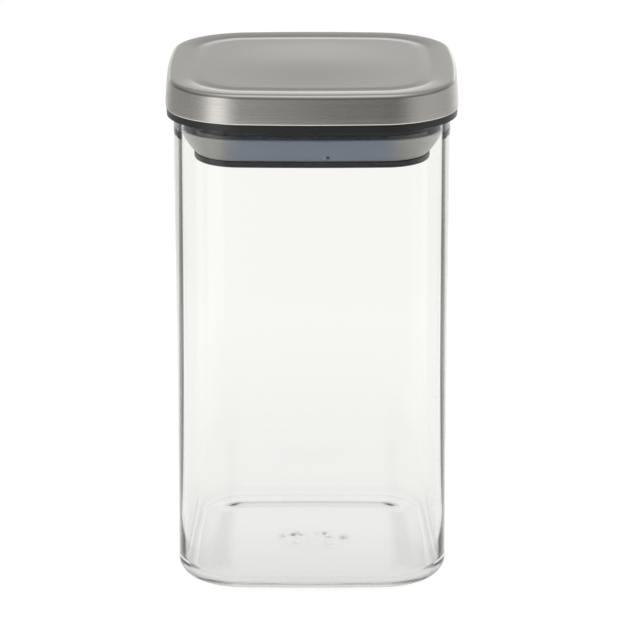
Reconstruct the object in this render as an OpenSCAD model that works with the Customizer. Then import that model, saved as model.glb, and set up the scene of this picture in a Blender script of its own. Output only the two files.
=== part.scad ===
// Square glass storage jar with a lift-out lid.
// The jar and the lid share one kind of plan, a square with round corners and slightly
// bowed sides. Every ring-shaped piece is one 2D profile, swept round that plan by eight
// exact revolves, so walls stay parallel and curves stay true.

/* [Jar] */
// Width of the glass across two opposite sides
jar_w = 99; // [92:1:130]
// Height of the glass, foot to rim
jar_h = 172.3; // [90:0.1:260]
// Plan radius of the glass corners
jar_corner = 23.5; // [21:0.5:26]
// Slight bow of the glass sides: degrees that each half side turns through
jar_bow_angle = 2.5; // [1.5:0.1:4]
// Thickness of the glass wall
jar_wall = 2.2; // [1.6:0.1:3]
// Thickness of the glass floor
jar_floor = 3; // [2.5:0.1:5]
// Radius of the heel, where the outer wall turns into the foot
heel_r = 6; // [4:0.5:8]
// Radius of the bore, where the inner wall turns into the floor
bore_r = 5; // [4:0.5:6.5]
// Rounding of the rim's inner and outer edge
rim_round = 0.7; // [0.3:0.1:0.75]
// Width of the flat band that the jar stands on
foot_band = 5; // [3:0.5:6]
// How far the middle of the foot is pushed up
push_up = 0.6; // [0.3:0.1:1]
// Width of the slope between the flat band and the pushed-up middle
push_slope = 6; // [4:0.5:8]
// Diameter of the soft mark in the middle of the floor
mark_d = 34; // [20:1:40]
// Height of the soft mark in the middle of the floor
mark_h = 0.8; // [0.4:0.1:1.5]

/* [Steel cap] */
// How far the cap stands out beyond the glass on each side
cap_overhang = 3; // [2.5:0.1:6]
// Plan radius of the cap's corners
cap_corner = 28.8; // [27:0.1:32]
// Bow of the cap's sides: degrees that each half side turns through
cap_bow_angle = 4; // [2:0.1:6]
// Height of the cap's skirt, hem to top edge
skirt_h = 10.6; // [8:0.1:16]
// Thickness of the sheet steel
sheet = 0.6; // [0.4:0.1:0.8]
// How far the skirt leans in from hem to top
skirt_lean = 0.75; // [0:0.05:1]
// Radius of the cap's top edge
edge_r = 1.7; // [1.2:0.1:2]
// Width of the sloping border, from the top edge to the crease
border_w = 8.6; // [7:0.1:9.5]
// How far the border falls towards the crease
crease_drop = 0.4; // [0.2:0.05:0.6]
// Width of the slope that lifts the panel out of the crease
pillow_w = 9; // [7:0.5:9.5]
// How far the panel rises above the crease
pillow_rise = 0.6; // [0.3:0.1:1]
// Height of the hem folded up inside the skirt
hem_h = 1.8; // [1.4:0.1:3]

/* [Lid core] */
// Thickness of the flange that rests on the glass rim
flange_h = 2.4; // [1.8:0.1:3.2]
// How far the flange stands back from the cap's edge
flange_inset = 0.3; // [0.2:0.1:0.6]
// Wall thickness of the moulded core
core_wall = 1.8; // [1.5:0.1:2.2]
// Rib thickness of the moulded core
rib_t = 1.4; // [1:0.1:1.8]
// Distance between neighbouring ribs
rib_pitch = 14; // [12:1:15]
// Number of ribs each way
rib_count = 5; // [1:2:5]
// Height of the neck below the flange
neck_h = 3.4; // [2.5:0.1:6]
// Gap between the neck and the glass
neck_gap = 2.8; // [2:0.1:3.2]
// Height of the spool that the seal is stretched over
spool_h = 9.5; // [8:0.1:14]
// How far the spool steps in from the neck
spool_step = 3.8; // [3.4:0.1:4.2]
// Diameter of the pins that hold the end plate
pin_d = 5; // [4:0.5:6]
// Distance of each pin from the middle lines
pin_place = 22; // [16:1:23]
// Length of the pins
pin_h = 8; // [5:0.5:9]

/* [Seal and end plate] */
// Gap between the seal's lip and the glass at rest
lip_gap = 0.3; // [0.2:0.05:0.5]
// Thickness of the seal's lip and sleeve
seal_t = 1.1; // [0.8:0.1:1.3]
// Height of the lip above the bowl's foot
lip_h = 8.9; // [7.5:0.1:9]
// Width of the bowl's flat foot, in front of the sleeve
bowl_foot = 0.4; // [0.2:0.1:0.6]
// How round the bowl is: 1 is a straight cone, and more is rounder
bowl_power = 1.6; // [1.2:0.1:2]
// Diameter of the drain hole at the foot of the lip
drain_d = 1.4; // [1:0.1:1.8]
// Sideways place of the drain hole
drain_x = 5.5; // [-15:0.5:15]
// Thickness of the end plate
plate_t = 2.4; // [1.8:0.1:4]
// Gap between the end plate and the glass
plate_gap = 4.75; // [4:0.05:5]
// Rounding of the end plate's edges
plate_round = 0.5; // [0.2:0.1:0.8]
// Height of the rim that centres the end plate in the spool
locator_h = 3.5; // [2:0.1:6]

/* [Hidden] */
$fn = 180;

arc_steps = 6;       // straight steps in each rounded profile edge
bowl_steps = 4;      // straight steps in the seal's bowl
slip = 0.3;          // clearance between pieces that slide together
snug = 0.1;          // clearance between the stretched seal and the spool
hem_gap = 0.7;       // clearance between the cap's hem and the core's wall inside it
lap = 0.5;           // how far joined shapes reach into each other
core_share = 0.6;    // share of the corner radius that a plate's square core takes in
edge_band = 3.5;     // width of the end plate's ring, inside its rounded edge

jar_form = [jar_w / 2, jar_corner, jar_bow_angle];
cap_form = [jar_w / 2 + cap_overhang, cap_corner, cap_bow_angle];

// heights, up from the foot
flange_top = jar_h + flange_h;
cap_top = flange_top + skirt_h;
crease_z = cap_top - crease_drop;
panel_z = crease_z + pillow_rise;
neck_foot = jar_h - neck_h;
spool_foot = neck_foot - spool_h;

// insets from the cap's outline
edge_end = skirt_lean + edge_r;
crease_in = edge_end + border_w - edge_r;
panel_in = crease_in + pillow_w;
rim_wall_in = max(2 * sheet, skirt_lean + sheet) + hem_gap;

// insets from the glass outline
neck_in = jar_wall + neck_gap;
spool_in = neck_in + spool_step;
bore_in = spool_in + core_wall;
lip_in = jar_wall + lip_gap;
plate_in = jar_wall + plate_gap;
locator_in = bore_in + slip;

// ---- plan: form = [half width, corner radius, turn of each half side in degrees] ----

function bow_r(f) = f[1] + (f[0] - f[1]) / (1 - cos(f[2]) + sin(f[2]));
function side_centre(f) = f[0] - bow_r(f);
function corner_centre(f) = (bow_r(f) - f[1]) * sin(f[2]);

// half length of a straight line across the plan at x, inside an inset
function reach(f, inset, x) =
    abs(x) <= (bow_r(f) - inset) * sin(f[2])
    ? side_centre(f) + sqrt(pow(bow_r(f) - inset, 2) - x * x)
    : corner_centre(f) + sqrt(pow(f[1] - inset, 2) - pow(abs(x) - corner_centre(f), 2));

// sweeps a 2D profile round the plan: its x is minus the inset, its y is the height
module round_plan(f) {
    for (side = [0 : 3]) rotate(90 * side) {
        shift([0, side_centre(f)]) rotate_extrude(start = 90 - f[2], angle = 2 * f[2])
            shift([bow_r(f), 0]) children();
        shift([corner_centre(f), corner_centre(f)])
            rotate_extrude(start = f[2], angle = 90 - 2 * f[2])
                translate([f[1], 0]) children();
    }
}

// a long move in a round step and a fine step, which keeps its last digits, so that
// neighbouring arcs meet on one plane
module shift(v) {
    round_step = [round(v.x * 100), round(v.y * 100)] / 100;
    translate(round_step) translate(v - round_step) children();
}

// flat plate with the plan's outline at an inset
module plan_plate(f, inset, z0, z1) {
    core = corner_centre(f) + core_share * (f[1] - inset);
    deep = f[0] - inset - core + lap;
    round_plan(f) translate([-inset - deep, z0]) square([deep, z1 - z0]);
    translate([-core, -core, z0]) cube([2 * core, 2 * core, z1 - z0]);
}

// ---- profiles ----

// points on an arc, from one angle to another
function arc(centre, r, from, to) =
    [for (k = [0 : arc_steps]) let (a = from + (to - from) * k / arc_steps)
        centre + r * [cos(a), sin(a)]];

// soft step between two heights, level at both ends
function soft_step(x0, z0, x1, z1) =
    [for (k = [0 : arc_steps]) let (s = k / arc_steps)
        [x0 + (x1 - x0) * s, z0 + (z1 - z0) * (1 - cos(180 * s)) / 2]];

// unit normal on the left of the step from one point to the next
function left(p, q) = [p.y - q.y, q.x - p.x] / norm(q - p);

// normal at a path's point, long enough to keep the sheet's thickness through a bend
function bend(path, k) =
    let (n0 = left(path[max(k - 1, 0)], path[max(k, 1)]),
         n1 = left(path[min(k, len(path) - 2)], path[min(k + 1, len(path) - 1)]),
         m = (n0 + n1) / 2)
    m / (m * m);

// closed outline of a sheet whose visible face runs along the path
function sheet_of(path, t) =
    concat(path, [for (k = [len(path) - 1 : -1 : 0]) path[k] + t * bend(path, k)]);

// ---- pieces ----

module glass_jar() {
    step_in = heel_r + foot_band;
    rise_end = step_in + push_slope;
    floor_end = rise_end + 2 * lap;
    outside = concat(
        arc([-rim_round, jar_h - rim_round], rim_round, 90, 0),
        arc([-heel_r, heel_r], heel_r, 0, -90),
        soft_step(-step_in, 0, -rise_end, push_up),
        [[-floor_end, push_up]]);
    inside = concat(
        [[-floor_end, jar_floor]],
        arc([-jar_wall - bore_r, jar_floor + bore_r], bore_r, -90, 0),
        arc([-jar_wall + rim_round, jar_h - rim_round], rim_round, 180, 90));
    color([0.85, 0.88, 0.88, 0.35]) {
        round_plan(jar_form) polygon(concat(outside, inside));
        plan_plate(jar_form, floor_end - lap, push_up, jar_floor);
        rotate_extrude() polygon(concat(
            [[0, jar_floor - lap], [mark_d / 2, jar_floor - lap]],
            soft_step(mark_d / 2, jar_floor, 0, jar_floor + mark_h)));
    }
}

module steel_cap() {
    hem_top = flange_top + hem_h;
    face = concat(
        [[0, flange_top + sheet]],
        arc([-edge_end, cap_top - edge_r], edge_r, 0, 90),
        soft_step(-crease_in, crease_z, -panel_in, panel_z));
    fold = arc([-sheet, flange_top + sheet], sheet, 180, 360);
    last = len(face) - 1;
    color("silver") {
        round_plan(cap_form) polygon(concat(
            [[-2 * sheet, hem_top]], fold,
            [for (k = [1 : last]) face[k]],
            [for (k = [last : -1 : 1]) face[k] + sheet * bend(face, k)],
            [[-sheet - skirt_lean * hem_h / skirt_h, hem_top]]));
        plan_plate(cap_form, panel_in, panel_z - sheet, panel_z);
    }
}

module lid_core() {
    rib_top = crease_z - sheet - slip;
    wall_end = rim_wall_in + core_wall;
    boss_d = pin_d + 2 * slip + 2 * core_wall;
    color("#1f2122") {
        difference() {
            union() {
                plan_plate(cap_form, flange_inset, jar_h, flange_top);
                round_plan(jar_form) translate([-neck_in - core_wall, neck_foot])
                    square([core_wall, neck_h + lap]);
                round_plan(jar_form) translate([-bore_in, neck_foot])
                    square([bore_in - neck_in, core_wall]);
                round_plan(jar_form) translate([-bore_in, spool_foot])
                    square([core_wall, spool_h + neck_h + lap]);
                pin_places() translate([0, 0, spool_foot + locator_h])
                    cylinder(d = boss_d, h = jar_h - spool_foot - locator_h + lap);
            }
            pin_places() translate([0, 0, spool_foot])
                cylinder(d = pin_d + 2 * slip, h = pin_h + slip);
        }
        round_plan(cap_form) translate([-wall_end, flange_top - lap])
            square([core_wall, rib_top - flange_top + lap]);
        for (turn = [0, 90], k = [0 : rib_count - 1]) {
            x = (k - (rib_count - 1) / 2) * rib_pitch;
            half = reach(cap_form, wall_end - core_wall / 2, abs(x) + rib_t / 2);
            rotate(turn) translate([x - rib_t / 2, -half, flange_top - lap])
                cube([rib_t, 2 * half, rib_top - flange_top + lap]);
        }
    }
}

module pin_places() {
    for (x = [-1, 1], y = [-1, 1]) translate([x * pin_place, y * pin_place]) children();
}

module silicone_seal() {
    sleeve_in = spool_in - snug;
    groove_in = sleeve_in - seal_t;
    sleeve_top = neck_foot - slip;
    flare = groove_in - bowl_foot - lip_in;
    bowl = [for (k = [0 : bowl_steps]) let (s = k / bowl_steps)
        [-lip_in - flare * pow(1 - s, bowl_power), spool_foot + lip_h * s]];
    color([0.62, 0.68, 0.74, 0.8]) difference() {
        round_plan(jar_form) polygon(concat(
            [[-sleeve_in, spool_foot]], bowl,
            [for (k = [bowl_steps : -1 : 1]) bowl[k] + seal_t * bend(bowl, k)],
            [[-groove_in, spool_foot + seal_t], [-groove_in, sleeve_top], [-sleeve_in, sleeve_top]]));
        translate([drain_x, groove_in - jar_w / 2, spool_foot + seal_t + drain_d / 2])
            rotate([90, 0, 0]) cylinder(d = drain_d, h = jar_w);
    }
}

module end_plate() {
    edge = concat(
        arc([-plate_in - plate_round, spool_foot - plate_t + plate_round], plate_round, -90, 0),
        arc([-plate_in - plate_round, spool_foot - plate_round], plate_round, 0, 90));
    inner = plate_in + plate_round + edge_band;
    color("#26282a") {
        round_plan(jar_form)
            polygon(concat(edge, [[-inner, spool_foot], [-inner, spool_foot - plate_t]]));
        plan_plate(jar_form, inner, spool_foot - plate_t, spool_foot);
        round_plan(jar_form) translate([-locator_in - core_wall, spool_foot - lap])
            square([core_wall, locator_h + lap]);
        pin_places() translate([0, 0, spool_foot - lap]) cylinder(d = pin_d, h = pin_h + lap);
    }
}

glass_jar();
steel_cap();
lid_core();
silicone_seal();
end_plate();
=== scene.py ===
"""Looks of a square glass storage jar with a lift-out lid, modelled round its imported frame."""

import logging
import math
from collections.abc import Callable, Sequence
from dataclasses import dataclass, field
from enum import Enum
from typing import Any

import bmesh
import bpy
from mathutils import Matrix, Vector


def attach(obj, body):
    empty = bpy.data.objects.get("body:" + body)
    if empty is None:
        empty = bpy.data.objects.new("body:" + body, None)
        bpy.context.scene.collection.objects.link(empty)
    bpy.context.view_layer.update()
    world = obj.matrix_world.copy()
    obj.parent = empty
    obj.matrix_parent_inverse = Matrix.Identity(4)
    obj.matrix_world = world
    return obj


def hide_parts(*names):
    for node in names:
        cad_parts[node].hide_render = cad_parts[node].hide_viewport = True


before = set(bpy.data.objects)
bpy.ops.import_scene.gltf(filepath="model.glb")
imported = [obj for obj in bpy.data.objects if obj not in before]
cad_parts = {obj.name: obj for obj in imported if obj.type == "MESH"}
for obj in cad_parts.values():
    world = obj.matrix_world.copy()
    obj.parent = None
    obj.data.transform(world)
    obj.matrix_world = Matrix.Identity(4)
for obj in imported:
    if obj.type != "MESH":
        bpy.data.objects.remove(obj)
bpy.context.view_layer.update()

log = logging.getLogger("storage_jar")

MM = 0.001
WELD = 2e-6  # metres within which two places count as one
ARC_STEPS = 8  # straight steps in a rounded profile edge
HEEL_STEPS = 14  # straight steps in the large round of a foot
HEM_STEPS = 10  # straight steps in a folded hem
CURVE_STEPS = 16  # straight steps in a long curve of a profile
EASE_STEPS = 12  # straight steps in a soft step
SIDE_STEPS = 16  # steps of a sweep along one bowed side
CORNER_STEPS = 36  # steps of a sweep round one corner

Point = tuple[float, float]  # inset from the plan's outline and height, both in mm
Colour = tuple[float, float, float, float]  # linear red, green and blue, and alpha
Span = tuple[float, float]  # where something begins and where it is full
Tree = bpy.types.NodeTree
Socket = bpy.types.NodeSocket

WHITE = (1.0, 1.0, 1.0, 1.0)
HALF = 0.5  # puts a limit between two whole counts of reflections or faces


# ---------------------------------------------------------------- small geometry


def arc(centre: Point, radius: float, start: float, end: float, steps: int = ARC_STEPS) -> list[Point]:
    """Points on an arc of a profile.

    Args:
        centre: Inset and height of the arc's centre, in mm.
        radius: Radius in mm.
        start: First angle in degrees, where 0 points outwards and 90 up.
        end: Last angle in degrees.
        steps: Number of straight steps.

    Returns:
        The points, both ends included.
    """
    angles = [math.radians(start + (end - start) * k / steps) for k in range(steps + 1)]
    return [(centre[0] - radius * math.cos(a), centre[1] + radius * math.sin(a)) for a in angles]


def soft_step(first: Point, last: Point) -> list[Point]:
    """Points of a step between two heights that is level at both ends.

    Args:
        first: Inset and height where it starts, in mm.
        last: Inset and height where it ends, in mm.

    Returns:
        The points, both ends included.
    """
    shares = [k / EASE_STEPS for k in range(EASE_STEPS + 1)]
    return [
        (
            first[0] + (last[0] - first[0]) * s,
            first[1] + (last[1] - first[1]) * (1 - math.cos(math.pi * s)) / 2,
        )
        for s in shares
    ]


@dataclass(frozen=True)
class Plan:
    """A square with round corners and slightly bowed sides, seen from above.

    Attributes:
        half: Half the width across the middles of two sides, in mm.
        corner: Radius of the corner arcs, in mm.
        turn: Degrees that each half side turns through.
    """

    half: float
    corner: float
    turn: float

    @property
    def bow(self) -> float:
        """Radius of the side arcs, in mm."""
        bend = 1 - math.cos(math.radians(self.turn)) + math.sin(math.radians(self.turn))
        return self.corner + (self.half - self.corner) / bend

    @property
    def side_centre(self) -> float:
        """Distance of a side arc's centre from the middle, in mm, negative beyond it."""
        return self.half - self.bow

    @property
    def corner_centre(self) -> float:
        """Distance of a corner arc's centre from each middle line, in mm."""
        return (self.bow - self.corner) * math.sin(math.radians(self.turn))


class Bench:
    """The hand tools that the pieces are made with. Each works on the mesh in edit mode."""

    @staticmethod
    def lay_out(name: str, start: Vector) -> bpy.types.Object:
        """Begins a piece as one vertex, from a plane merged to a point.

        Args:
            name: Name of the piece.
            start: Place of the vertex, in metres.

        Returns:
            The new object, in edit mode.
        """
        bpy.ops.object.select_all(action="DESELECT")
        bpy.ops.mesh.primitive_plane_add(size=MM, location=(0, 0, 0))
        piece = bpy.context.object
        piece.name = piece.data.name = name
        bpy.ops.object.mode_set(mode="EDIT")
        bpy.ops.mesh.select_mode(type="VERT")
        bpy.ops.mesh.select_all(action="SELECT")
        bpy.ops.mesh.merge(type="CENTER")
        bpy.ops.transform.translate(value=start)
        return piece

    @staticmethod
    def extrude_to(here: Vector, there: Vector) -> None:
        """Extrudes the selected vertex from one place to another."""
        bpy.ops.mesh.extrude_region_move(TRANSFORM_OT_translate={"value": there - here})

    @staticmethod
    def select(test: Callable[[Vector], bool]) -> None:
        """Selects the vertices that pass a test, with the edges and faces between them.

        Args:
            test: Says whether a place, in metres, is wanted.
        """
        bpy.ops.mesh.select_all(action="DESELECT")
        mesh = bmesh.from_edit_mesh(bpy.context.object.data)
        for vertex in mesh.verts:
            if test(vertex.co):
                vertex.select_set(True)
        mesh.select_flush(True)
        bmesh.update_edit_mesh(bpy.context.object.data)

    @staticmethod
    def pull(lift: float, reach: float, connected: bool = False) -> None:
        """Lifts the selected vertices and, less and less, those round them.

        Args:
            lift: How far, in mm; sinks them if negative.
            reach: Distance at which nothing moves any more, in mm.
            connected: True if only what is joined to them by faces follows.
        """
        bpy.ops.transform.translate(
            value=(0, 0, lift * MM),
            use_proportional_edit=True,
            use_proportional_connected=connected,
            proportional_edit_falloff="SMOOTH",
            proportional_size=reach * MM,
        )

    @classmethod
    def raise_middle(cls, level: float, spot: float, lift: float, reach: float) -> None:
        """Raises the middle of a level face into a soft hill.

        Args:
            level: Height of the face, in mm.
            spot: Vertices nearer to the axis than this, in mm, are its top.
            lift: Height of the hill, in mm.
            reach: Radius of the hill, in mm.
        """
        cls.select(lambda at: at.xy.length < spot * MM and abs(at.z - level * MM) < WELD)
        cls.pull(lift, reach)

    @staticmethod
    def spin(centre: tuple[float, float], degrees: float, steps: int) -> None:
        """Spins the selected edges clockwise, seen from above, about an upright axis.

        Args:
            centre: Place of the axis, in mm.
            degrees: Angle to turn through.
            steps: Number of steps.
        """
        bpy.ops.mesh.spin(
            steps=steps,
            angle=math.radians(degrees),
            center=(centre[0] * MM, centre[1] * MM, 0),
            axis=(0, 0, 1),
        )

    @classmethod
    def sweep(cls, name: str, plan: Plan, profile: Sequence[Point], closed: bool) -> bpy.types.Object:
        """Draws a profile at the middle of the back side and spins it round a plan.

        Args:
            name: Name of the piece.
            plan: The plan to follow.
            profile: Insets and heights, in mm.
            closed: True if the profile's ends are joined.

        Returns:
            The swept object, in edit mode, with its seam welded and its normals outwards.
        """
        places = [Vector((0, (plan.half - inset) * MM, height * MM)) for inset, height in profile]
        if closed:
            places.append(places[0])
        piece = cls.lay_out(name, places[0])
        for here, there in zip(places, places[1:]):
            cls.extrude_to(here, there)
        bpy.ops.mesh.select_all(action="SELECT")
        bpy.ops.mesh.remove_doubles(threshold=WELD)
        reach = plan.corner_centre
        for quarter in range(4):
            heading = math.radians(90 * quarter)
            across = (math.sin(heading), math.cos(heading))
            ahead = (math.cos(heading), -math.sin(heading))
            side = (plan.side_centre * across[0], plan.side_centre * across[1])
            corner = (reach * (across[0] + ahead[0]), reach * (across[1] + ahead[1]))
            after = (plan.side_centre * ahead[0], plan.side_centre * ahead[1])
            cls.spin(side, plan.turn, SIDE_STEPS // 2)
            cls.spin(corner, 90 - 2 * plan.turn, CORNER_STEPS)
            cls.spin(after, plan.turn, SIDE_STEPS // 2)
        bpy.ops.mesh.select_all(action="SELECT")
        bpy.ops.mesh.remove_doubles(threshold=WELD)
        bpy.ops.mesh.normals_make_consistent(inside=False)
        return piece

    @staticmethod
    def fill_loop(height: float) -> None:
        """Closes the open loop at one height with a grid of faces.

        Args:
            height: Height of the loop, in mm.
        """
        bpy.ops.mesh.select_all(action="DESELECT")
        mesh = bmesh.from_edit_mesh(bpy.context.object.data)
        for edge in mesh.edges:
            level = all(abs(v.co.z - height * MM) < WELD for v in edge.verts)
            edge.select_set(edge.is_boundary and level)
        bmesh.update_edit_mesh(bpy.context.object.data)
        bpy.ops.mesh.fill_grid(span=SIDE_STEPS + CORNER_STEPS)

    @staticmethod
    def finish(piece: bpy.types.Object, crease: float = 35) -> bpy.types.Object:
        """Leaves edit mode with outward normals and smooth faces.

        Args:
            piece: The piece that is being edited.
            crease: Edges sharper than this many degrees stay sharp.

        Returns:
            The same piece.
        """
        bpy.ops.mesh.select_all(action="SELECT")
        bpy.ops.mesh.normals_make_consistent(inside=False)
        bpy.ops.object.mode_set(mode="OBJECT")
        bpy.ops.object.select_all(action="DESELECT")
        piece.select_set(True)
        bpy.context.view_layer.objects.active = piece
        bpy.ops.object.shade_smooth_by_angle(angle=math.radians(crease))
        return piece


# ---------------------------------------------------------------- finishes


def linear(colour: str) -> Colour:
    """Turns an sRGB colour into a linear one.

    Args:
        colour: Hex value such as "#c8c6c2".

    Returns:
        The linear colour, with full alpha.
    """
    shares = [int(colour[k : k + 2], 16) / 255 for k in (1, 3, 5)]
    red, green, blue = (s / 12.92 if s <= 0.04045 else ((s + 0.055) / 1.055) ** 2.4 for s in shares)
    return (red, green, blue, 1.0)


def add_node(
    tree: Tree, kind: str, inputs: dict[str | int, Any] | None = None, **settings: Any
) -> bpy.types.Node:
    """Adds a node with its settings, values and links.

    Args:
        tree: The node tree.
        kind: Blender's name of the node type.
        inputs: For each input's name or number, a value, the output socket that feeds it, or a
            node whose first output feeds it.
        settings: Values of the node's own properties.

    Returns:
        The new node.
    """
    node = tree.nodes.new(kind)
    for key, value in settings.items():
        setattr(node, key, value)
    for key, value in (inputs or {}).items():
        if isinstance(value, bpy.types.Node):
            value = value.outputs[0]
        if isinstance(value, Socket):
            tree.links.new(value, node.inputs[key])
        else:
            node.inputs[key].default_value = value
    return node


def new_material(name: str) -> tuple[bpy.types.Material, Tree]:
    """Makes an empty node material.

    Args:
        name: Name of the material.

    Returns:
        The material and its node tree, with only an output node.
    """
    material = bpy.data.materials.new(name)
    material.use_nodes = True
    material.node_tree.nodes.clear()
    add_node(material.node_tree, "ShaderNodeOutputMaterial")
    return material, material.node_tree


def set_surface(tree: Tree, shader: bpy.types.Node) -> None:
    """Links a shader to the tree's output node."""
    output = next(n for n in tree.nodes if n.bl_idname.startswith("ShaderNodeOutput"))
    tree.links.new(shader.outputs[0], output.inputs["Surface"])


class Lay(Enum):
    """Which way the steel was brushed."""

    STRAIGHT = "along X"
    ROUND = "round the skirt"


@dataclass(frozen=True)
class BrushedSteel:
    """Stainless sheet, brushed with a fine belt before it was pressed.

    The belt leaves scratches about 0.1 mm wide and tens of millimetres long, which spread each
    reflection across their run, so highlights on the skirt become upright bands. They are drawn
    about twice as wide, because finer ones don't show.

    Attributes:
        lay: Which way the scratches run.
        colour: Colour of the metal.
        groove: Colour in the depth of a scratch.
        roughness: Roughness between the scratches.
        swing: How much a scratch changes the roughness, up and down.
        spread: How much further reflections spread across the scratches.
        scratch_mm: Drawn width of a scratch.
        scratch_len_mm: Drawn length of a scratch.
        noise_span: Between which values of the noise nearly all of it lies.
        clouds_per_m: How many faint clouds of roughness a metre holds.
        cloud_swing: How much a cloud changes the roughness, up and down.
        relief: Strength of the scratches' relief.
        relief_mm: Depth of the scratches.
    """

    lay: Lay
    colour: str = "#cfccc7"
    groove: str = "#c3c0ba"
    roughness: float = 0.27
    swing: float = 0.05
    spread: float = 0.7
    scratch_mm: float = 0.22
    scratch_len_mm: float = 60.0
    noise_span: Span = (0.3, 0.7)
    clouds_per_m: float = 30.0
    cloud_swing: float = 0.006
    relief: float = 0.06
    relief_mm: float = 0.02

    def make(self) -> bpy.types.Material:
        """Builds the finish.

        Returns:
            The material.
        """
        material, tree = new_material(f"brushed_stainless_{self.lay.name.lower()}")
        place = add_node(tree, "ShaderNodeTexCoord").outputs["Object"]
        fine, long = 1 / (self.scratch_mm * MM), 1 / (self.scratch_len_mm * MM)
        scale = (long, fine, long) if self.lay is Lay.STRAIGHT else (long, long, fine)
        stretched = add_node(tree, "ShaderNodeMapping", {"Vector": place, "Scale": scale})
        scratches = add_node(
            tree,
            "ShaderNodeTexNoise",
            {"Vector": stretched.outputs["Vector"], "Scale": 1.0, "Detail": 4.0, "Roughness": 0.6},
        ).outputs["Fac"]
        clouds = add_node(
            tree, "ShaderNodeTexNoise", {"Vector": place, "Scale": self.clouds_per_m, "Detail": 1.0}
        ).outputs["Fac"]
        tone = add_node(
            tree,
            "ShaderNodeMix",
            {0: scratches, 6: linear(self.groove), 7: linear(self.colour)},
            data_type="RGBA",
        )
        swings = [
            add_node(
                tree,
                "ShaderNodeMapRange",
                {
                    "Value": noise,
                    "From Min": self.noise_span[0],
                    "From Max": self.noise_span[1],
                    "To Min": middle - swing,
                    "To Max": middle + swing,
                },
            )
            for noise, middle, swing in (
                (scratches, self.roughness, self.swing),
                (clouds, 0.0, self.cloud_swing),
            )
        ]
        roughness = add_node(tree, "ShaderNodeMath", {0: swings[0], 1: swings[1]}, operation="ADD")
        relief = add_node(
            tree,
            "ShaderNodeBump",
            {"Strength": self.relief, "Distance": self.relief_mm * MM, "Height": scratches},
        )
        if self.lay is Lay.STRAIGHT:
            run = add_node(tree, "ShaderNodeCombineXYZ", {"X": 1.0})
        else:
            run = add_node(tree, "ShaderNodeTangent", axis="Z")
        steel = add_node(
            tree,
            "ShaderNodeBsdfPrincipled",
            {
                "Base Color": tone.outputs[2],
                "Metallic": 1.0,
                "Roughness": roughness,
                "Anisotropic": self.spread,
                "Tangent": run,
                "Normal": relief.outputs["Normal"],
            },
        )
        set_surface(tree, steel)
        return material


@dataclass(frozen=True)
class BlownGlass:
    """Clear borosilicate glass, blown in a mould.

    Thin walls hardly tint what is behind them. Where the eye looks along a wall, the light comes
    from beside the jar, where the studio is dark for it, so edges turn dark. The mould leaves a
    soft waviness, some centimetres long.

    Attributes:
        body: Colour of light that passes through.
        sheen: Tint of its reflections.
        clear: Colour of light that a face lets straight on, into the shadow or out of a wall.
        echoes: Reflections after which light passes straight on, so it isn't lost inside a wall.
        ior: Refractive index.
        wave_mm: Length of the waviness.
        relief: Strength of the waviness.
        relief_mm: Depth of the waviness.
    """

    body: str = "#fefefe"
    sheen: str = "#d8d8d8"
    clear: str = "#f4f4f3"
    echoes: int = 4
    ior: float = 1.47
    wave_mm: float = 30.0
    relief: float = 0.05
    relief_mm: float = 0.3

    def make(self) -> bpy.types.Material:
        """Builds the finish.

        Returns:
            The material.
        """
        material, tree = new_material("borosilicate_glass")
        place = add_node(tree, "ShaderNodeTexCoord").outputs["Object"]
        waves = add_node(
            tree,
            "ShaderNodeTexNoise",
            {"Vector": place, "Scale": 1 / (self.wave_mm * MM), "Detail": 1.0},
        ).outputs["Fac"]
        relief = add_node(
            tree,
            "ShaderNodeBump",
            {"Strength": self.relief, "Distance": self.relief_mm * MM, "Height": waves},
        )
        glass = add_node(
            tree,
            "ShaderNodeBsdfPrincipled",
            {
                "Base Color": linear(self.body),
                "Roughness": 0.0,
                "IOR": self.ior,
                "Transmission Weight": 1.0,
                "Specular Tint": linear(self.sheen),
                "Normal": relief.outputs["Normal"],
            },
        )
        clear = add_node(tree, "ShaderNodeBsdfTransparent", {"Color": linear(self.clear)})
        path = add_node(tree, "ShaderNodeLightPath")
        trapped = add_node(
            tree,
            "ShaderNodeMath",
            {0: path.outputs["Glossy Depth"], 1: self.echoes - HALF},
            operation="GREATER_THAN",
        )
        let_out = add_node(
            tree,
            "ShaderNodeMath",
            {0: path.outputs["Is Shadow Ray"], 1: trapped},
            operation="MAXIMUM",
        )
        both = add_node(tree, "ShaderNodeMixShader", {0: let_out, 1: glass, 2: clear})
        set_surface(tree, both)
        return material


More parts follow.
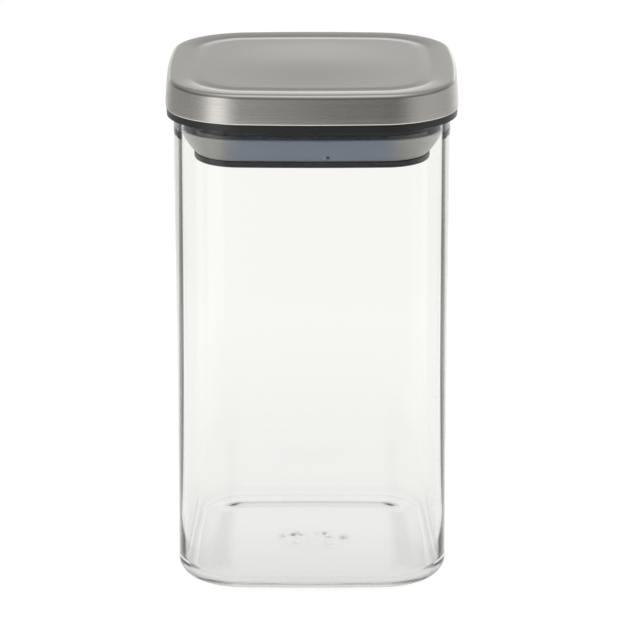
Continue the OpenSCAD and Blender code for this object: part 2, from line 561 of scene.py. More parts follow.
@dataclass(frozen=True)
class MouldedPlastic:
    """Black ABS from a finely sparked mould, which leaves a satin skin.

    Attributes:
        colour: Colour of the plastic.
        roughness: Roughness of its skin.
        swing: How much the grain changes the roughness, up and down.
        grain_mm: Size of the mould's grain.
        ior: Refractive index.
        relief: Strength of the grain's relief.
        relief_mm: Depth of the grain.
    """

    colour: str = "#0e0f10"
    roughness: float = 0.38
    swing: float = 0.06
    grain_mm: float = 0.35
    ior: float = 1.53
    relief: float = 0.1
    relief_mm: float = 0.02

    def make(self) -> bpy.types.Material:
        """Builds the finish.

        Returns:
            The material.
        """
        material, tree = new_material("moulded_abs")
        place = add_node(tree, "ShaderNodeTexCoord").outputs["Object"]
        grain = add_node(
            tree,
            "ShaderNodeTexNoise",
            {"Vector": place, "Scale": 1 / (self.grain_mm * MM), "Detail": 2.0},
        ).outputs["Fac"]
        rough = add_node(
            tree,
            "ShaderNodeMapRange",
            {
                "Value": grain,
                "To Min": self.roughness - self.swing,
                "To Max": self.roughness + self.swing,
            },
        )
        relief = add_node(
            tree,
            "ShaderNodeBump",
            {"Strength": self.relief, "Distance": self.relief_mm * MM, "Height": grain},
        )
        plastic = add_node(
            tree,
            "ShaderNodeBsdfPrincipled",
            {
                "Base Color": linear(self.colour),
                "Roughness": rough,
                "IOR": self.ior,
                "Normal": relief.outputs["Normal"],
            },
        )
        set_surface(tree, plastic)
        return material


@dataclass(frozen=True)
class Silicone:
    """Translucent moulded silicone: a milky, slightly blue body under a satin skin.

    Its corners are drawn paler and warmer than its sides, as painted light that they catch.

    Attributes:
        colour: Colour of the milky body.
        corner: Painted light: the paler, warmer colour drawn at the corners of a square piece.
        lit_corner_mm: How far from both centre planes the painted corner light begins and is full.
        clearness: Share of light that passes through.
        roughness: Roughness of the skin.
        bloom: How much the bloom on the skin lowers and raises the roughness.
        bloom_per_m: How many patches of bloom a metre holds.
        ior: Refractive index.
        milkiness: Share of light that wanders inside.
        scatter_mm: How far it wanders.
    """

    colour: str = "#909ba9"
    corner: str = "#a6a5a1"
    lit_corner_mm: Span = (24.0, 34.0)
    clearness: float = 0.3
    roughness: float = 0.32
    bloom: Span = (0.05, 0.08)
    bloom_per_m: float = 120.0
    ior: float = 1.41
    milkiness: float = 0.6
    scatter_mm: float = 2.5

    def body(self, tree: Tree, place: Socket) -> Socket:
        """Colour of the body, by place, with painted light at the corners.

        Args:
            tree: The material's node tree.
            place: Place on the piece.

        Returns:
            A colour socket.
        """
        axes = add_node(tree, "ShaderNodeSeparateXYZ", {0: place})
        aside, ahead = (
            add_node(tree, "ShaderNodeMath", {0: axes.outputs[axis]}, operation="ABSOLUTE")
            for axis in "XY"
        )
        least = add_node(tree, "ShaderNodeMath", {0: aside, 1: ahead}, operation="MINIMUM")
        # painted light: the corners are mixed towards a paler, warmer colour, as if lit more
        corner = add_node(
            tree,
            "ShaderNodeMapRange",
            {
                "Value": least,
                "From Min": self.lit_corner_mm[0] * MM,
                "From Max": self.lit_corner_mm[1] * MM,
            },
            interpolation_type="SMOOTHSTEP",
        )
        return add_node(
            tree,
            "ShaderNodeMix",
            {0: corner, 6: linear(self.colour), 7: linear(self.corner)},
            data_type="RGBA",
        ).outputs[2]

    def make(self) -> bpy.types.Material:
        """Builds the finish.

        Returns:
            The material.
        """
        material, tree = new_material("moulded_silicone")
        place = add_node(tree, "ShaderNodeTexCoord").outputs["Object"]
        bloom = add_node(
            tree, "ShaderNodeTexNoise", {"Vector": place, "Scale": self.bloom_per_m, "Detail": 3.0}
        )
        rough = add_node(
            tree,
            "ShaderNodeMapRange",
            {
                "Value": bloom.outputs["Fac"],
                "To Min": self.roughness - self.bloom[0],
                "To Max": self.roughness + self.bloom[1],
            },
        )
        rubber = add_node(
            tree,
            "ShaderNodeBsdfPrincipled",
            {
                "Base Color": self.body(tree, place),
                "Roughness": rough,
                "IOR": self.ior,
                "Subsurface Weight": self.milkiness,
                "Subsurface Radius": (1.0, 1.0, 1.0),
                "Subsurface Scale": self.scatter_mm * MM,
                "Transmission Weight": self.clearness,
            },
        )
        set_surface(tree, rubber)
        return material


# ---------------------------------------------------------------- pieces


@dataclass
class Piece:
    """One physical piece: what it rides on, what it replaces and what it is finished with.

    Attributes:
        name: Name of the piece.
        body: Body of the frame that it moves with.
        node: Node of the frame that it stands for.
        slot: Material slot of the record; not used.
    """

    name: str
    body: str
    node: str
    slot: str

    def place(self, made: bpy.types.Object, *materials: bpy.types.Material) -> bpy.types.Object:
        """Dresses the finished object and joins it to the frame.

        Args:
            made: The finished object.
            materials: Its materials, in the order of its slots.

        Returns:
            The same object.
        """
        made.data.materials.clear()
        for material in materials:
            made.data.materials.append(material)
        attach(made, self.body)
        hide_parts(self.node)
        log.info("%s: %d faces on %s", self.name, len(made.data.polygons), self.body)
        return made


@dataclass
class GlassJar(Piece):
    """The blown glass jar. Lengths are in mm.

    Attributes:
        plan: Its outline, seen from above.
        height: Height of the rim.
        wall: Thickness of the wall.
        floor: Height of the inner floor.
        heel: Radius of the round between wall and foot.
        heel_step: How much smaller the radius inside is.
        rim_round: Radius of the rim's edges.
        foot_band: Width of the flat band that it stands on.
        push_up: Height of the hollow under the foot.
        rise: Width of the slope from the band to the hollow.
        mark_radius: Radius of the soft mark in the middle of the floor.
        mark_height: Height of the mark.
        mark_spot: Vertices nearer to the axis than this are the mark's top.
        mark_cuts: Cuts in each edge of the mark, which make it fine enough for the dents.
        floor_band: From how far below the inner floor to how far above it a vertex belongs to it.
        dents: Places, radii and heights of the small dents and bumps in the mark.
    """

    name: str = "jar_glass"
    body: str = "jar"
    node: str = "glass_jar"
    slot: str = "clear_glass"
    plan: Plan = field(default_factory=lambda: Plan(half=49.5, corner=23.5, turn=2.5))
    height: float = 172.3
    wall: float = 2.2
    floor: float = 3.0
    heel: float = 6.0
    heel_step: float = 1.0
    rim_round: float = 0.7
    foot_band: float = 5.0
    push_up: float = 0.6
    rise: float = 10.0
    mark_radius: float = 17.0
    mark_height: float = 0.8
    mark_spot: float = 1.0
    mark_cuts: int = 3
    floor_band: Span = (-0.5, 2.0)
    dents: tuple[tuple[float, float, float, float], ...] = (
        (-10, 0, 4, 0.3),
        (-4, 1, 5, 0.5),
        (4, 0, 5, 0.6),
        (10, -1, 5, 0.4),
        (-8, -1, 2, -0.5),
        (-5, -2, 1.6, -0.3),
        (5, -1, 2, -0.6),
    )

    def profile(self) -> list[Point]:
        """Section of the wall.

        Returns:
            Its points, from the inner floor over the rim to the foot.
        """
        bore = self.heel - self.heel_step
        inner_edge = self.height - self.rim_round
        step_in = self.heel + self.foot_band
        end = step_in + self.rise
        return [
            (end, self.floor),
            *arc((self.wall + bore, self.floor + bore), bore, -90, 0, HEEL_STEPS),
            *arc((self.wall - self.rim_round, inner_edge), self.rim_round, 180, 90),
            *arc((self.rim_round, inner_edge), self.rim_round, 90, 0),
            *arc((self.heel, self.heel), self.heel, 0, -90, HEEL_STEPS),
            *soft_step((step_in, 0), (end, self.push_up)),
        ]

    def build(self, glass: bpy.types.Material) -> bpy.types.Object:
        """Models the jar.

        Args:
            glass: Finish of the glass.

        Returns:
            The jar.
        """
        jar = Bench.sweep(self.name, self.plan, self.profile(), closed=False)
        Bench.fill_loop(self.floor)
        Bench.raise_middle(self.floor, self.mark_spot, self.mark_height, self.mark_radius)
        Bench.select(lambda at: self.on_floor(at) and at.xy.length < self.mark_radius * MM)
        bpy.ops.mesh.subdivide(number_cuts=self.mark_cuts)
        for x, y, radius, height in self.dents:
            self.dent(Vector((x, y, 0)) * MM, radius, height)
        Bench.fill_loop(self.push_up)
        return self.place(Bench.finish(jar), glass)

    def on_floor(self, at: Vector) -> bool:
        """Whether a place, in metres, is at the height of the inner floor."""
        low, high = self.floor_band
        return (self.floor + low) * MM < at.z < (self.floor + high) * MM

    def dent(self, at: Vector, radius: float, height: float) -> None:
        """Raises or sinks a soft spot of the inner floor.

        Args:
            at: Its place, in metres; only x and y count.
            radius: Its radius, in mm.
            height: How far it rises, in mm.
        """
        mesh = bmesh.from_edit_mesh(bpy.context.object.data)
        inner = [v.co.copy() for v in mesh.verts if self.on_floor(v.co)]
        nearest = min(inner, key=lambda place: (place.xy - at.xy).length)
        Bench.select(lambda place: (place - nearest).length < WELD)
        Bench.pull(height, radius, connected=True)


@dataclass
class SteelCap(Piece):
    """The pressed steel cap. Lengths are in mm.

    Attributes:
        plan: Its outline, seen from above.
        foot: Height of the hem's lowest line.
        skirt: Height of the skirt.
        sheet: Thickness of the sheet.
        shell_share: Share of that thickness that the shell gets.
        hem: How far the folded edge comes up inside.
        lean: How far the skirt leans in.
        edge: Radius of the round top edge.
        border: Width from the skirt's top to the crease.
        border_power: How late the border falls towards the crease.
        crease_drop: How far the crease lies below the top edge.
        pillow: Width of the slope from the crease to the panel.
        pillow_rise: Height of that slope.
        crown: How much higher the panel's middle is.
        crown_spot: Vertices nearer to the axis than this are the crown's top.
        panel_slope: Faces whose normals climb more degrees than this get the panel's finish.
    """

    name: str = "cap_shell"
    body: str = "lid"
    node: str = "steel_cap"
    slot: str = "brushed_steel"
    plan: Plan = field(default_factory=lambda: Plan(half=52.5, corner=28.8, turn=4))
    foot: float = 174.7
    skirt: float = 10.6
    sheet: float = 0.6
    shell_share: float = 0.9
    hem: float = 1.8
    lean: float = 0.75
    edge: float = 1.7
    border: float = 8.6
    border_power: float = 2.0
    crease_drop: float = 0.4
    pillow: float = 5.0
    pillow_rise: float = 0.2
    crown: float = 0.38
    crown_spot: float = 2.0
    panel_slope: float = 50.0

    @property
    def top(self) -> float:
        """Height of the top edge, in mm."""
        return self.foot + self.skirt

    def profile(self) -> list[Point]:
        """Section of the sheet's outer face.

        Returns:
            Its points, from inside the hem to the edge of the panel.
        """
        crease = self.lean + self.border
        crease_z = self.top - self.crease_drop
        start = self.lean + self.edge
        border = [
            (start + (crease - start) * s, self.top - self.crease_drop * s**self.border_power)
            for s in (k / CURVE_STEPS for k in range(1, CURVE_STEPS))
        ]
        return [
            (2 * self.sheet, self.foot + self.hem),
            *arc((self.sheet, self.foot + self.sheet), self.sheet, 180, 360, HEM_STEPS),
            (self.lean / 2, (self.foot + self.top) / 2),
            *arc((self.lean + self.edge, self.top - self.edge), self.edge, 0, 90),
            *border,
            *soft_step((crease, crease_z), (crease + self.pillow, crease_z + self.pillow_rise)),
        ]

    def build(self, skirt: bpy.types.Material, panel: bpy.types.Material) -> bpy.types.Object:
        """Models the cap.

        Args:
            skirt: Finish of the skirt.
            panel: Finish of the top.

        Returns:
            The cap.
        """
        cap = Bench.sweep(self.name, self.plan, self.profile(), closed=False)
        panel_z = self.top - self.crease_drop + self.pillow_rise
        panel_half = self.plan.half - self.lean - self.border - self.pillow
        Bench.fill_loop(panel_z)
        Bench.raise_middle(panel_z, self.crown_spot, self.crown, panel_half)
        cap = Bench.finish(cap)
        solid = cap.modifiers.new("sheet", "SOLIDIFY")
        solid.thickness = self.sheet * self.shell_share * MM
        solid.offset = -1
        bpy.ops.object.modifier_apply(modifier=solid.name)
        self.place(cap, skirt, panel)
        climb = math.sin(math.radians(self.panel_slope))
        for face in cap.data.polygons:
            face.material_index = int(face.normal.z > climb)
        return cap


@dataclass
class SiliconeSeal(Piece):
    """The silicone collar stretched over the spool. Lengths are in mm.

    Attributes:
        plan: The jar's outline, from which insets are measured.
        foot: Height of its lowest face.
        thickness: Thickness of its walls.
        lip_inset: Inset of the lip's outer face.
        lip_height: Height of the lip's top above the foot.
        sleeve_inset: Inset of the sleeve's inner face.
        sleeve_height: Height of the sleeve.
        bowl_foot: How far the bowl starts outside the sleeve.
        bowl_power: How strongly the bowl flares.
        back_rise: Share of the thickness by which the bowl's inner face lies higher.
        back_gap: How far the bowl's inner face ends from the sleeve.
        crease: Edges sharper than this many degrees stay sharp.
        drain: Width of the drain hole.
        drain_x: How far it is to the right of the middle.
        drain_depth: How deep it is drilled.
        drain_sides: Number of sides of the drill.
    """

    name: str = "seal_collar"
    body: str = "lid"
    node: str = "silicone_seal"
    slot: str = "silicone"
    plan: Plan = field(default_factory=lambda: Plan(half=49.5, corner=23.5, turn=2.5))
    foot: float = 159.4
    thickness: float = 1.1
    lip_inset: float = 2.5
    lip_height: float = 8.9
    sleeve_inset: float = 8.7
    sleeve_height: float = 9.2
    bowl_foot: float = 0.4
    bowl_power: float = 1.6
    back_rise: float = 0.2
    back_gap: float = 0.1
    crease: float = 50.0
    drain: float = 1.4
    drain_x: float = 5.5
    drain_depth: float = 10.0
    drain_sides: int = 32

    def profile(self) -> list[Point]:
        """Closed section of the collar.

        Returns:
            The points of bowl, lip, the bowl's inner face and sleeve.
        """
        t = self.thickness
        groove = self.sleeve_inset - t
        flare = groove - self.bowl_foot - self.lip_inset
        bowl = [
            (self.lip_inset + flare * (1 - s) ** self.bowl_power, self.foot + self.lip_height * s)
            for s in (k / CURVE_STEPS for k in range(CURVE_STEPS - 1))
        ]
        lip = arc((self.lip_inset + t / 2, self.foot + self.lip_height - t / 2), t / 2, 0, 180)
        back = [
            (x + t, z + t * self.back_rise)
            for x, z in reversed(bowl)
            if x + t < groove - self.back_gap
        ]
        sleeve = [
            (groove, self.foot + t),
            (groove, self.foot + self.sleeve_height),
            (self.sleeve_inset, self.foot + self.sleeve_height),
            (self.sleeve_inset, self.foot),
        ]
        return [*bowl, *lip, *back, *sleeve]

    def build(self, rubber: bpy.types.Material) -> bpy.types.Object:
        """Models the seal.

        Args:
            rubber: Finish of the silicone.

        Returns:
            The seal.
        """
        swept = Bench.sweep(self.name, self.plan, self.profile(), closed=True)
        seal = Bench.finish(swept, crease=self.crease)
        self.drill(seal)
        return self.place(seal, rubber)

    def drill(self, seal: bpy.types.Object) -> None:
        """Cuts the drain hole through the front of the bowl, just above its foot.

        Args:
            seal: The seal.
        """
        groove = self.sleeve_inset - self.thickness
        radius = self.drain / 2
        bpy.ops.object.select_all(action="DESELECT")
        bpy.ops.mesh.primitive_cylinder_add(
            vertices=self.drain_sides,
            radius=radius * MM,
            depth=self.drain_depth * MM,
            location=(
                self.drain_x * MM,
                (groove - self.plan.half - self.drain_depth / 2) * MM,
                (self.foot + self.thickness + radius) * MM,
            ),
            rotation=(math.pi / 2, 0, 0),
        )
        cutter = bpy.context.object
        bpy.ops.object.select_all(action="DESELECT")
        seal.select_set(True)
        bpy.context.view_layer.objects.active = seal
        cut = seal.modifiers.new("drain", "BOOLEAN")
        cut.object = cutter
        cut.operation = "DIFFERENCE"
        cut.solver = "EXACT"
        bpy.ops.object.modifier_apply(modifier=cut.name)
        bpy.data.objects.remove(cutter)


@dataclass
class Moulding:
    """A hard moulding whose frame node already has its ribs, sockets, pins and rounded edges.

    Attributes:
        node: Node of the frame.
    """

    node: str

    def dress(self, plastic: bpy.types.Material) -> bpy.types.Object:
        """Gives the node its finish.

        Args:
            plastic: Finish of the plastic.

        Returns:
            The node's object.
        """
        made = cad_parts[self.node]
        made.data.materials.clear()
        made.data.materials.append(plastic)
        log.info("%s: %d faces, as packed", self.node, len(made.data.polygons))
        return made


@dataclass
class Lid:
    """The lift-out lid.

    Attributes:
        cap: The steel cap.
        core: The core that the cap sits on and that goes down into the jar.
        seal: The collar round the core's spool.
        plate: The plate that closes the core from below.
    """

    cap: SteelCap = field(default_factory=SteelCap)
    core: Moulding = field(default_factory=lambda: Moulding("lid_core"))
    seal: SiliconeSeal = field(default_factory=SiliconeSeal)
    plate: Moulding = field(default_factory=lambda: Moulding("end_plate"))

    def build(self) -> None:
        """Makes the lid's finishes and its pieces."""
        plastic = MouldedPlastic().make()
        skirt = BrushedSteel(Lay.ROUND).make()
        panel = BrushedSteel(Lay.STRAIGHT, roughness=0.2, spread=0.35).make()
        self.cap.build(skirt, panel)
        self.core.dress(plastic)
        self.seal.build(Silicone().make())
        self.plate.dress(plastic)


# ---------------------------------------------------------------- studio


WALL_FACES = 2  # faces that light crosses to enter a wall of glass and to leave it
WALL_ECHOES = 3  # most reflections inside a wall that still count as running along it


def set_stops(ramp: bpy.types.Node, stops: Sequence[tuple[float, float]]) -> Socket:
    """Gives a colour ramp its stops, in greys.

    Args:
        ramp: The colour ramp's node.
        stops: Positions from 0 to 1, each with its shade.

    Returns:
        The ramp's colour socket.
    """
    points = ramp.color_ramp.elements
    while len(points) < len(stops):
        points.new(0.5)
    for point, (position, shade) in zip(points, stops):
        point.position = position
        point.color = (shade, shade, shade, 1)
    return ramp.outputs["Color"]


def turned(tree: Tree) -> Socket:
    """Whether light that crossed glass was also reflected on its way, as 0 or 1.

    Args:
        tree: Node tree of the world or the floor.

    Returns:
        A value socket.
    """
    path = add_node(tree, "ShaderNodeLightPath")
    once = add_node(
        tree, "ShaderNodeMath", {0: path.outputs["Glossy Depth"], 1: HALF}, operation="GREATER_THAN"
    )
    through = add_node(
        tree,
        "ShaderNodeMath",
        {0: once, 1: path.outputs["Transmission Depth"]},
        operation="MULTIPLY",
        use_clamp=True,
    )
    return through.outputs[0]


def along_wall(tree: Tree) -> Socket:
    """Whether light ran along one wall of glass, as 0 or 1.

    It crossed at most two faces and was reflected one to three times.

    Args:
        tree: Node tree of the floor.

    Returns:
        A value socket.
    """
    path = add_node(tree, "ShaderNodeLightPath")
    shallow, few = (
        add_node(
            tree, "ShaderNodeMath", {0: path.outputs[depth], 1: most + HALF}, operation="LESS_THAN"
        )
        for depth, most in (("Transmission Depth", WALL_FACES), ("Glossy Depth", WALL_ECHOES))
    )
    both = add_node(tree, "ShaderNodeMath", {0: shallow, 1: few}, operation="MULTIPLY")
    ran = add_node(tree, "ShaderNodeMath", {0: both, 1: turned(tree)}, operation="MULTIPLY")
    return ran.outputs[0]


@dataclass(frozen=True)
class Room:
    """The room round the jar: white to the eye and through glass, shaded where metal mirrors it.

    Attributes:
        walls: Degrees round the jar from the front towards the viewer's right, each with the
            brightness of the walls there.
        heights: Degrees above the horizon, each with what multiplies the walls' brightness.
        overhead: Degrees above the horizon between which the walls give way to the ceiling.
        ceiling: Brightness of the ceiling at its edge and in its middle.
        ceiling_span: Sines of the degrees above the horizon of that edge and that middle.
        aside: Brightness, straight on and to the sides, for light that was reflected inside glass.
        aside_span: Sines of the angles from straight on to the sides that belong to them.
    """

    walls: tuple[tuple[float, float], ...] = (
        (-180, 1.0), (-150, 0.9), (-135, 0.42), (-70, 0.36), (-58, 0.5), (-52, 1.5), (-32, 1.5),
        (-26, 0.46), (-10, 0.46), (-3, 0.25), (7, 0.18), (20, 0.17), (40, 0.26), (48, 0.55),
        (75, 0.6), (120, 0.5), (146, 1.1), (164, 1.25), (180, 1.0),
    )
    heights: tuple[tuple[float, float], ...] = (
        (0, 1.05), (8, 0.95), (10.5, 0.6), (13, 0.54), (16, 0.47), (20, 0.4), (25, 0.36),
    )
    overhead: Span = (25.0, 50.0)
    ceiling: Span = (0.455, 1.0)
    ceiling_span: Span = (0.82, 0.99)
    aside: Span = (0.8, 0.05)
    aside_span: Span = (0.06, 0.28)

    def round_about(self, tree: Tree, direction: Socket) -> Socket:
        """Brightness of the walls that polished metal mirrors, by direction from the jar.

        Args:
            tree: Node tree of the world or the floor.
            direction: Direction, or place on the floor.

        Returns:
            A colour socket.
        """
        axes = add_node(tree, "ShaderNodeSeparateXYZ", {0: direction})
        forward = add_node(tree, "ShaderNodeMath", {0: axes.outputs["Y"], 1: -1.0}, operation="MULTIPLY")
        azimuth = add_node(
            tree, "ShaderNodeMath", {0: axes.outputs["X"], 1: forward}, operation="ARCTAN2"
        )
        turn = add_node(
            tree,
            "ShaderNodeMapRange",
            {"Value": azimuth, "From Min": -math.pi, "From Max": math.pi},
        )
        ramp = add_node(tree, "ShaderNodeValToRGB", {"Fac": turn})
        return set_stops(ramp, [((degrees + 180) / 360, shade) for degrees, shade in self.walls])

    def mirrored(self, tree: Tree, direction: Socket) -> Socket:
        """Brightness of walls and ceiling, as polished metal mirrors them.

        Args:
            tree: Node tree of the world.
            direction: Direction from the jar.

        Returns:
            A colour socket.
        """
        height = add_node(tree, "ShaderNodeSeparateXYZ", {0: direction}).outputs["Z"]
        climb = add_node(tree, "ShaderNodeMath", {0: height}, operation="ARCSINE")
        share = add_node(tree, "ShaderNodeMath", {0: climb, 1: 2 / math.pi}, operation="MULTIPLY")
        ramp = add_node(tree, "ShaderNodeValToRGB", {"Fac": share})
        fall = set_stops(ramp, [(degrees / 90, shade) for degrees, shade in self.heights])
        walls = add_node(
            tree,
            "ShaderNodeMix",
            {0: 1.0, 6: self.round_about(tree, direction), 7: fall},
            data_type="RGBA",
            blend_type="MULTIPLY",
        )
        overhead = add_node(
            tree,
            "ShaderNodeMapRange",
            {
                "Value": climb,
                "From Min": math.radians(self.overhead[0]),
                "From Max": math.radians(self.overhead[1]),
            },
            interpolation_type="SMOOTHSTEP",
        )
        ceiling = add_node(
            tree,
            "ShaderNodeMapRange",
            {
                "Value": height,
                "From Min": self.ceiling_span[0],
                "From Max": self.ceiling_span[1],
                "To Min": self.ceiling[0],
                "To Max": self.ceiling[1],
            },
            interpolation_type="SMOOTHSTEP",
        )
        return add_node(
            tree, "ShaderNodeMix", {0: overhead, 6: walls.outputs[2], 7: ceiling}, data_type="RGBA"
        ).outputs[2]

    def strength(self, tree: Tree, direction: Socket) -> Socket:
        """Strength of the room: full, but low at the sides for light reflected inside glass.

        Args:
            tree: Node tree of the world.
            direction: Direction from the jar.

        Returns:
            A value socket.
        """
        across = add_node(tree, "ShaderNodeSeparateXYZ", {0: direction}).outputs["X"]
        off = add_node(tree, "ShaderNodeMath", {0: across}, operation="ABSOLUTE")
        dim = add_node(
            tree,
            "ShaderNodeMapRange",
            {
                "Value": off,
                "From Min": self.aside_span[0],
                "From Max": self.aside_span[1],
                "To Min": self.aside[0],
                "To Max": self.aside[1],
            },
        )
        return add_node(
            tree, "ShaderNodeMapRange", {"Value": turned(tree), "To Min": 1.0, "To Max": dim}
        ).outputs[0]

    def build(self) -> None:
        """Makes the room the world of the scene."""
        world = bpy.data.worlds.new("studio")
        bpy.context.scene.world = world
        world.use_nodes = True
        tree = world.node_tree
        tree.nodes.clear()
        add_node(tree, "ShaderNodeOutputWorld")
        direction = add_node(tree, "ShaderNodeTexCoord").outputs["Generated"]
        path = add_node(tree, "ShaderNodeLightPath")
        white = add_node(
            tree,
            "ShaderNodeMath",
            {0: path.outputs["Is Camera Ray"], 1: path.outputs["Transmission Depth"]},
            operation="ADD",
            use_clamp=True,
        )
        colour = add_node(
            tree,
            "ShaderNodeMix",
            {0: white, 6: self.mirrored(tree, direction), 7: WHITE},
            data_type="RGBA",
        )
        sky = add_node(
            tree,
            "ShaderNodeBackground",
            {"Color": colour.outputs[2], "Strength": self.strength(tree, direction)},
        )
        set_surface(tree, sky)


@dataclass(frozen=True)
class PaperFloor:
    """White paper under the jar. Lengths are in metres.

    To the eye it is lit paper mixed with a white glow, so it keeps the jar's shadow, and further
    away it is all white. There metal mirrors the room's walls in it. Through glass it is an even
    white glow with a painted shadow, a little darker round the foot and in front. To light that
    ran along a wall of glass it is painted dark beside the jar and well in front of it, as black
    cards beside glass are.

    Attributes:
        size: Side of the paper.
        drop: How far it lies below the foot.
        paper: Colour of the paper.
        glow: Share of glow near the jar.
        glow_span: Distances at which the glow begins to grow and is full.
        mirror_span: Distances at which metal begins to mirror the walls and mirrors only them.
        through: Colour of the paper through glass.
        shade: Brightness of the painted shadow through glass round the foot and in front, of 1.
        foot_span: Distances at which that shade round the foot begins to fade and is gone.
        front_span: Places along Y at which the shade in front begins to fade and is gone.
        echo: Brightness to light that was reflected inside glass.
        card: Brightness of the dark parts to light that ran along a wall.
        side: Distance of the jar's sides from its middle.
        behind: Least depth behind the jar's middle from which a strip's slant is measured.
        slant: Slant of a strip's middle line, sideways for each metre back.
        strip_span: Difference of slant at which a strip begins and is full.
        apron_span: Places along Y at which the dark part in front begins and is full.
    """

    size: float = 12.0
    drop: float = 0.0004
    paper: str = "#f2f2f2"
    glow: float = 0.6
    glow_span: Span = (0.4, 1.2)
    mirror_span: Span = (0.3, 0.5)
    through: str = "#fefefb"
    shade: float = 0.87
    foot_span: Span = (0.03, 0.24)
    front_span: Span = (-0.035, 0.015)
    echo: float = 0.95
    card: float = 0.03
    side: float = 0.05
    behind: float = 0.02
    slant: float = 0.5
    strip_span: Span = (0.8, 0.55)
    apron_span: Span = (-0.1, -0.2)

    def cards(self, tree: Tree, place: Socket) -> Socket:
        """Where the floor is dark to light that ran along a wall, 0 to 1.

        That is in a slanting strip behind each side of the jar, and well in front of it.

        Args:
            tree: Node tree of the floor.
            place: Place on the floor.

        Returns:
            A value socket.
        """
        axes = add_node(tree, "ShaderNodeSeparateXYZ", {0: place})
        aside = add_node(tree, "ShaderNodeMath", {0: axes.outputs["X"]}, operation="ABSOLUTE")
        out = add_node(tree, "ShaderNodeMath", {0: aside, 1: self.side}, operation="SUBTRACT")
        back = add_node(
            tree, "ShaderNodeMath", {0: axes.outputs["Y"], 1: self.behind}, operation="MAXIMUM"
        )
        slant = add_node(tree, "ShaderNodeMath", {0: out, 1: back}, operation="DIVIDE")
        apart = add_node(tree, "ShaderNodeMath", {0: slant, 1: self.slant}, operation="SUBTRACT")
        width = add_node(tree, "ShaderNodeMath", {0: apart}, operation="ABSOLUTE")
        strip, apron = (
            add_node(
                tree, "ShaderNodeMapRange", {"Value": value, "From Min": span[0], "From Max": span[1]}
            )
            for value, span in (
                (width, self.strip_span),
                (axes.outputs["Y"], self.apron_span),
            )
        )
        either = add_node(tree, "ShaderNodeMath", {0: strip, 1: apron}, operation="MAXIMUM")
        return either.outputs[0]

    def level(self, tree: Tree, place: Socket, away: Socket) -> Socket:
        """Brightness of the floor through glass, with the painted shadow round the foot and in front.

        Args:
            tree: Node tree of the floor.
            place: Place on the floor.
            away: Distance from the jar's middle.

        Returns:
            A value socket.
        """
        along = add_node(tree, "ShaderNodeSeparateXYZ", {0: place}).outputs["Y"]
        near, front = (
            add_node(
                tree,
                "ShaderNodeMapRange",
                {"Value": value, "From Min": span[0], "From Max": span[1], "To Min": self.shade},
            )
            for value, span in ((away, self.foot_span), (along, self.front_span))
        )
        # painted shadow: the glow through glass is darker round the foot and in front
        shade = add_node(tree, "ShaderNodeMath", {0: near, 1: front}, operation="MULTIPLY")
        plain, dark = (
            add_node(tree, "ShaderNodeMapRange", {"Value": met, "To Min": 1.0, "To Max": brightness})
            for met, brightness in ((turned(tree), self.echo), (along_wall(tree), self.card))
        )
        inside = add_node(
            tree,
            "ShaderNodeMapRange",
            {"Value": self.cards(tree, place), "To Min": plain, "To Max": dark},
        )
        level = add_node(tree, "ShaderNodeMath", {0: shade, 1: inside}, operation="MULTIPLY")
        return level.outputs[0]

    def make(self, room: Room) -> bpy.types.Material:
        """Builds the material.

        Args:
            room: The room whose walls metal mirrors in the floor.

        Returns:
            The material.
        """
        material, tree = new_material("white_paper")
        place = add_node(tree, "ShaderNodeTexCoord").outputs["Object"]
        away = add_node(tree, "ShaderNodeVectorMath", {0: place}, operation="LENGTH").outputs["Value"]
        path = add_node(tree, "ShaderNodeLightPath")
        white, far = (
            add_node(
                tree,
                "ShaderNodeMapRange",
                {"Value": away, "From Min": span[0], "From Max": span[1], "To Min": least},
            )
            for span, least in ((self.glow_span, self.glow), (self.mirror_span, 0.0))
        )
        polished = add_node(
            tree,
            "ShaderNodeMath",
            {0: path.outputs["Is Glossy Ray"], 1: path.outputs["Transmission Depth"]},
            operation="SUBTRACT",
            use_clamp=True,
        )
        mirror = add_node(tree, "ShaderNodeMath", {0: polished, 1: far}, operation="MULTIPLY")
        behind = add_node(
            tree, "ShaderNodeMath", {0: path.outputs["Transmission Depth"], 1: 1.0}, operation="MINIMUM"
        )
        paper = add_node(tree, "ShaderNodeBsdfDiffuse", {"Color": linear(self.paper)})
        glow = add_node(tree, "ShaderNodeEmission", {"Strength": 1.0})
        dimmed = add_node(
            tree,
            "ShaderNodeEmission",
            {"Color": linear(self.through), "Strength": self.level(tree, place, away)},
        )
        walls = add_node(tree, "ShaderNodeEmission", {"Color": room.round_about(tree, place)})
        gone = add_node(tree, "ShaderNodeBsdfTransparent")
        under = add_node(tree, "ShaderNodeNewGeometry").outputs["Backfacing"]
        shader = paper
        for share, other in (
            (white, glow),
            (path.outputs["Is Diffuse Ray"], paper),
            (behind, dimmed),
            (mirror, walls),
            (under, gone),
        ):
            shader = add_node(tree, "ShaderNodeMixShader", {0: share, 1: shader, 2: other})
        set_surface(tree, shader)
        return material

    def build(self, room: Room) -> None:
        """Lays the floor just under the foot.

        Args:
            room: The room whose walls metal mirrors in the floor.
        """
        bpy.ops.object.select_all(action="DESELECT")
        bpy.ops.mesh.primitive_plane_add(size=self.size, location=(0, 0, -self.drop))
        floor = bpy.context.object
        floor.name = "floor"
        floor.data.materials.append(self.make(room))


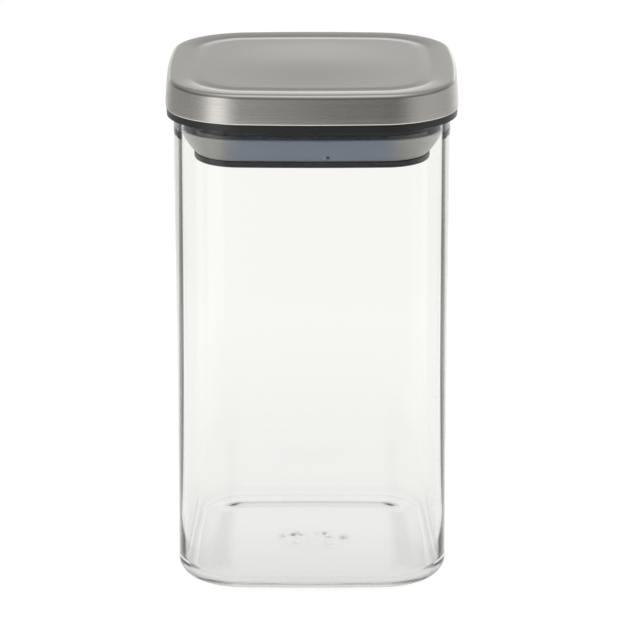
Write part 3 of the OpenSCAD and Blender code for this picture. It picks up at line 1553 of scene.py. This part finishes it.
@dataclass(frozen=True)
class Softbox:
    """One soft square light that looks at the jar and shows in no reflection.

    Attributes:
        name: Name of the light.
        azimuth: Degrees from the front, towards the viewer's right.
        climb: Degrees above the horizon.
        away: Distance in metres.
        size: Side of the light in metres.
        watts: Power.
        aim: Height in metres of the point that it looks at.
    """

    name: str
    azimuth: float
    climb: float
    away: float
    size: float
    watts: float
    aim: float = 0.1

    def hang(self) -> None:
        """Hangs the light."""
        light = bpy.data.lights.new(self.name, "AREA")
        light.size = self.size
        light.energy = self.watts
        lamp = bpy.data.objects.new(self.name, light)
        turn, rise = math.radians(self.azimuth), math.radians(self.climb)
        lamp.location = (
            self.away * math.sin(turn) * math.cos(rise),
            -self.away * math.cos(turn) * math.cos(rise),
            self.aim + self.away * math.sin(rise),
        )
        view = Vector((0, 0, self.aim)) - lamp.location
        lamp.rotation_euler = view.to_track_quat("-Z", "Y").to_euler()
        lamp.visible_glossy = False
        lamp.visible_transmission = False
        lamp.visible_camera = False
        bpy.context.scene.collection.objects.link(lamp)


@dataclass
class Studio:
    """The camera, the white floor, the room and the soft lights.

    Attributes:
        distance: Distance of the camera from the jar's axis, in metres.
        height: Height of the camera, in metres.
        pitch: Degrees that it looks down.
        focal_px: Its focal length in pixels.
        frame_px: Width of the frame in pixels.
        sensor: Width of its sensor in mm.
        clip: Nearest and furthest that it sees, in metres.
        floor: The floor.
        room: The room.
        lights: The lights.
    """

    distance: float = 1.1274
    height: float = 0.4457
    pitch: float = 17.46
    focal_px: float = 3208.5
    frame_px: float = 624.0
    sensor: float = 36.0
    clip: Span = (0.05, 50.0)
    floor: PaperFloor = PaperFloor()
    room: Room = Room()
    lights: tuple[Softbox, ...] = (
        Softbox("left", azimuth=-78, climb=20, away=1.3, size=0.8, watts=20),
        Softbox("right", azimuth=78, climb=20, away=1.3, size=0.8, watts=18),
        Softbox("top", azimuth=0, climb=89, away=1.5, size=1.2, watts=20),
    )

    def camera(self) -> None:
        """Places the camera in front of the jar."""
        lens = bpy.data.cameras.new("camera")
        lens.sensor_width = self.sensor
        lens.lens = self.sensor * self.focal_px / self.frame_px
        lens.clip_start, lens.clip_end = self.clip
        camera = bpy.data.objects.new("camera", lens)
        camera.location = (0, -self.distance, self.height)
        camera.rotation_euler = (math.radians(90 - self.pitch), 0, 0)
        bpy.context.scene.collection.objects.link(camera)
        bpy.context.scene.camera = camera

    def build(self) -> None:
        """Sets up the whole studio."""
        bpy.context.scene.view_settings.view_transform = "Standard"
        self.camera()
        self.floor.build(self.room)
        self.room.build()
        for light in self.lights:
            light.hang()
        log.info("studio: camera, floor, room and %d lights", len(self.lights))


def main() -> None:
    """Builds the studio and every piece."""
    logging.basicConfig(level=logging.INFO, format="%(name)s: %(message)s")
    Studio().build()
    GlassJar().build(BlownGlass().make())
    Lid().build()


if __name__ == "__main__":
    main()
